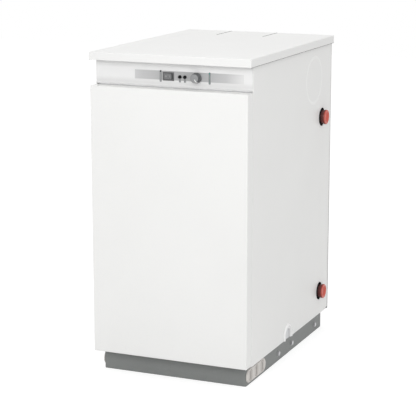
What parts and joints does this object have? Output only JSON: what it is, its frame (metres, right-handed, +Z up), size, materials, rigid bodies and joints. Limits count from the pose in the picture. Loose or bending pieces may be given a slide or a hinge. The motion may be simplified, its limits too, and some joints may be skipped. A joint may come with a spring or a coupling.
{
  "type": "oil boiler",
  "caption": "Floor-standing oil-fired kitchen boiler: white sheet casing on a grey plinth, lift-off lid, front door, pressure-jet burner, flue way and plugged pipe tails.",
  "frame": {"origin": "on the floor, under the middle of the casing's width and depth (the middle of the bounding box's base)", "axes": "+X to the right seen from the front, -Y out of the front door, +Z up"},
  "size_m": [0.4706, 0.65, 0.86],
  "materials": {
    "sheet_white": "satin",
    "sheet_grey": "satin",
    "plinth_paint": "satin",
    "galvanised": "satin",
    "zinc": "bright",
    "moulding_pale": "matt",
    "magnet": "matt",
    "pad": "matt",
    "strip": "satin",
    "ink": "matt",
    "black_plastic": "matt",
    "black_gloss": "gloss",
    "knob_plastic": "satin",
    "copper": "satin",
    "cable_sheath": "matt",
    "boiler_plate": "matt",
    "firebox": "matt",
    "rope": "matt",
    "pipe_steel": "satin",
    "plug_red": "satin",
    "brass": "satin",
    "cast": "satin",
    "motor_paint": "satin",
    "fan_metal": "satin",
    "red_plastic": "gloss"
  },
  "bodies": {
    "casing": {"plinth": "plinth_paint", "plinth_bolts": "zinc", "entry_plates": "moulding_pale", "base_tray": "galvanised", "boiler_skids": "boiler_plate", "side_panel_right": "sheet_white", "side_panel_left": "sheet_white", "notch_grommets": "moulding_pale", "back_panel": "galvanised", "panel_screws": "zinc", "catch_rail": "galvanised", "magnetic_catches": "magnet", "hinge_brackets": "galvanised", "fascia": "sheet_grey", "fascia_strip": "strip", "fascia_marks": "ink", "switch_body": "black_plastic", "thermostat_bodies": "black_plastic", "control_tray": "galvanised", "capillaries": "copper", "burner_cable": "cable_sheath", "water_jacket": "boiler_plate", "front_plate": "boiler_plate", "combustion_chamber": "firebox", "baffles": "firebox", "cleaning_door": "boiler_plate", "cleaning_door_gasket": "rope", "cleaning_door_nuts": "zinc", "flue_collector": "boiler_plate", "insulation_wrap": "pad", "pipe_tails": "pipe_steel", "burner_flange": "zinc", "blast_tube": "pipe_steel", "firing_head": "brass", "burner_housing": "cast", "burner_motor": "motor_paint", "air_box": "cast", "oil_pump": "black_plastic", "jet_pipe": "copper", "control_box": "black_plastic", "oil_hose": "cable_sheath", "oil_filter": "cast", "oil_valve": "brass"},
    "door": {"front_door": "sheet_white", "door_pad": "pad"},
    "lid_body": {"lid": "sheet_white"},
    "flue_cover": {"flue_plate": "sheet_white"},
    "knob": {"stat_knob": "knob_plastic"},
    "rocker": {"power_rocker": "black_gloss"},
    "reset_body": {"reset_button": "black_gloss"},
    "test_body": {"test_button": "black_gloss"},
    "plug_fr": {"plug_flow_right": "plug_red"},
    "plug_rr": {"plug_return_right": "plug_red"},
    "plug_fl": {"plug_flow_left": "plug_red"},
    "plug_rl": {"plug_return_left": "plug_red"},
    "fan": {"fan_wheel": "fan_metal", "drive_shaft": "pipe_steel"},
    "damper": {"air_damper": "fan_metal"},
    "lever": {"valve_lever": "red_plastic"},
    "lockout_body": {"burner_reset": "red_plastic"}
  },
  "joints": [
    {"name": "door_hinge", "type": "hinge", "parent": "casing", "child": "door", "pos_m": [0, -0.305, 0.064], "axis": [1, 0, 0], "range_deg": [0, 90]},
    {"name": "lid_lift", "type": "slide", "parent": "casing", "child": "lid_body", "axis": [0, 0, 1], "range_m": [0, 0.06]},
    {"name": "flue_plate_slide", "type": "slide", "parent": "lid_body", "child": "flue_cover", "axis": [0, 1, 0], "range_m": [0, 0.13]},
    {"name": "knob_turn", "type": "hinge", "parent": "casing", "child": "knob", "pos_m": [0.067, -0.3, 0.803], "axis": [0, -1, 0], "range_deg": [0, 270]},
    {"name": "rocker_tilt", "type": "hinge", "parent": "casing", "child": "rocker", "pos_m": [-0.012, -0.2886, 0.803], "axis": [0, 0, 1], "range_deg": [0, 16]},
    {"name": "reset_press", "type": "slide", "parent": "casing", "child": "reset_body", "axis": [0, 1, 0], "range_m": [0, 0.0025], "stiffness_N_per_m": 400, "springref_m": -0.001},
    {"name": "test_press", "type": "slide", "parent": "casing", "child": "test_body", "axis": [0, 1, 0], "range_m": [0, 0.0025], "stiffness_N_per_m": 400, "springref_m": -0.001},
    {"name": "plug_flow_right_pull", "type": "slide", "parent": "casing", "child": "plug_fr", "axis": [1, 0, 0], "range_m": [0, 0.08]},
    {"name": "plug_return_right_pull", "type": "slide", "parent": "casing", "child": "plug_rr", "axis": [1, 0, 0], "range_m": [0, 0.08]},
    {"name": "plug_flow_left_pull", "type": "slide", "parent": "casing", "child": "plug_fl", "axis": [-1, 0, 0], "range_m": [0, 0.08]},
    {"name": "plug_return_left_pull", "type": "slide", "parent": "casing", "child": "plug_rl", "axis": [-1, 0, 0], "range_m": [0, 0.08]},
    {"name": "fan_spin", "type": "hinge", "parent": "casing", "child": "fan", "pos_m": [0, -0.1865, 0.267], "axis": [1, 0, 0], "continuous": true},
    {"name": "damper_turn", "type": "hinge", "parent": "casing", "child": "damper", "pos_m": [0.064, -0.1865, 0.226], "axis": [0, 1, 0], "range_deg": [0, 60]},
    {"name": "valve_lever_turn", "type": "hinge", "parent": "casing", "child": "lever", "pos_m": [0.165, -0.2545, 0.0875], "axis": [0, -1, 0], "range_deg": [0, 90]},
    {"name": "burner_reset_press", "type": "slide", "parent": "casing", "child": "lockout_body", "axis": [0, 1, 0], "range_m": [0, 0.003], "stiffness_N_per_m": 500, "springref_m": -0.001}
  ]
}
